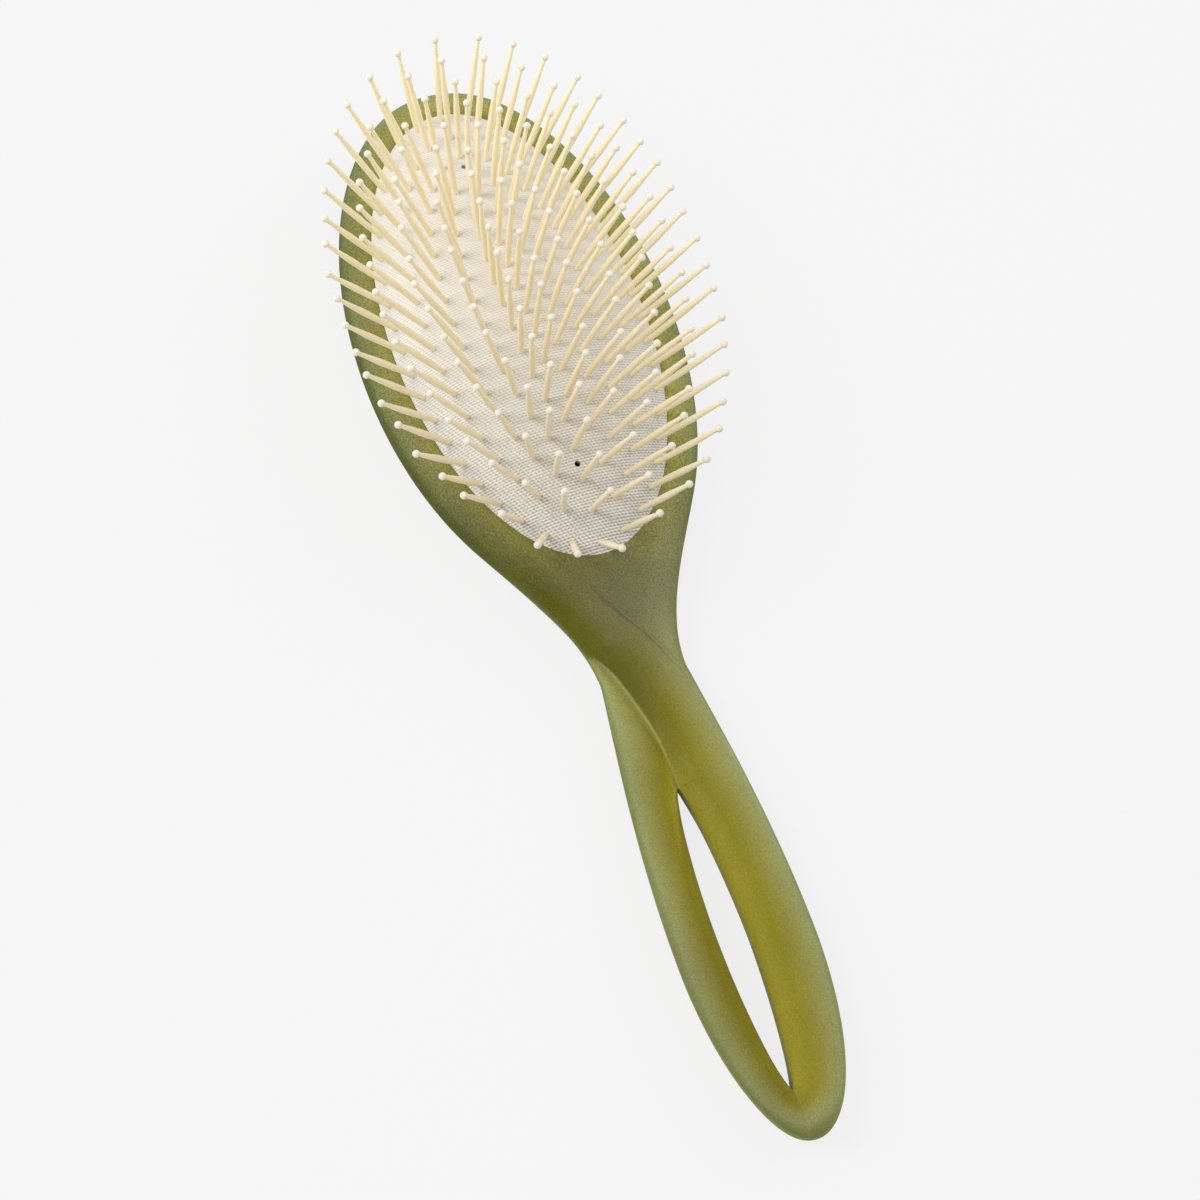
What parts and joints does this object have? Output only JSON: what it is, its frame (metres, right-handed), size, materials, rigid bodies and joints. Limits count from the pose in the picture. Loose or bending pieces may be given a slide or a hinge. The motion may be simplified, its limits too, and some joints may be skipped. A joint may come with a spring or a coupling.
{
  "type": "detangling brush",
  "caption": "Oval cushion hairbrush with ball-tipped plastic pins in a fabric-faced air cushion and a twisted handle of two strands with a slot between them.",
  "frame": {"origin": "centre of the flat rest area on the back, under the middle of the cushion", "axes": "+X from the handle towards the head, +Z from the back towards the pin tips, +Y to the left seen from the pins with the head up"},
  "size_m": [0.2286, 0.0724, 0.0416],
  "materials": {
    "frame_plastic": "frosted translucent olive green",
    "cushion_rubber": "smooth moulded rubber, mostly hidden by the fabric",
    "cover_fabric": "off-white open weave",
    "pin_plastic": "cream, slightly translucent"
  },
  "bodies": {
    "body": {"back_shell": "frame_plastic", "front_frame": "frame_plastic", "clamp_ring": "frame_plastic", "rubber_cushion": "cushion_rubber", "fabric_cover": "cover_fabric"},
    "middle_row": {"middle_row_pins": "pin_plastic"},
    "ring_5": {"ring_5_pins_head_left": "pin_plastic", "ring_5_pins_handle_left": "pin_plastic", "ring_5_pins_handle_right": "pin_plastic", "ring_5_pins_head_right": "pin_plastic"},
    "ring_4": {"ring_4_pins_head_left": "pin_plastic", "ring_4_pins_handle_left": "pin_plastic", "ring_4_pins_handle_right": "pin_plastic", "ring_4_pins_head_right": "pin_plastic"},
    "ring_3": {"ring_3_pins_head_left": "pin_plastic", "ring_3_pins_handle_left": "pin_plastic", "ring_3_pins_handle_right": "pin_plastic", "ring_3_pins_head_right": "pin_plastic"},
    "ring_2": {"ring_2_pins_head_left": "pin_plastic", "ring_2_pins_handle_left": "pin_plastic", "ring_2_pins_handle_right": "pin_plastic", "ring_2_pins_head_right": "pin_plastic"},
    "ring_1": {"ring_1_pins_head_left": "pin_plastic", "ring_1_pins_handle_left": "pin_plastic", "ring_1_pins_handle_right": "pin_plastic", "ring_1_pins_head_right": "pin_plastic"}
  },
  "joints": [
    {"name": "cushion_press", "type": "slide", "parent": "body", "child": "middle_row", "axis": [0, 0, 1], "range_m": [-0.0045, 0], "stiffness_N_per_m": 200, "springref_m": 0.0008, "deforming": ["rubber_cushion", "fabric_cover"]},
    {"name": "ring_5_press", "type": "slide", "parent": "body", "child": "ring_5", "axis": [0, 0, 1], "range_m": [-0.00395, 0], "stiffness_N_per_m": 200, "springref_m": 0.0008},
    {"name": "ring_4_press", "type": "slide", "parent": "body", "child": "ring_4", "axis": [0, 0, 1], "range_m": [-0.00344, 0], "stiffness_N_per_m": 200, "springref_m": 0.0008},
    {"name": "ring_3_press", "type": "slide", "parent": "body", "child": "ring_3", "axis": [0, 0, 1], "range_m": [-0.00266, 0], "stiffness_N_per_m": 200, "springref_m": 0.0008},
    {"name": "ring_2_press", "type": "slide", "parent": "body", "child": "ring_2", "axis": [0, 0, 1], "range_m": [-0.00165, 0], "stiffness_N_per_m": 200, "springref_m": 0.0008},
    {"name": "ring_1_press", "type": "slide", "parent": "body", "child": "ring_1", "axis": [0, 0, 1], "range_m": [-0.000459, 0], "stiffness_N_per_m": 200, "springref_m": 0.0008}
  ],
  "couplings": [
    {"joint": "ring_5_press", "follows": "cushion_press", "ratio": 0.86},
    {"joint": "ring_4_press", "follows": "cushion_press", "ratio": 0.75},
    {"joint": "ring_3_press", "follows": "cushion_press", "ratio": 0.58},
    {"joint": "ring_2_press", "follows": "cushion_press", "ratio": 0.36},
    {"joint": "ring_1_press", "follows": "cushion_press", "ratio": 0.1}
  ]
}
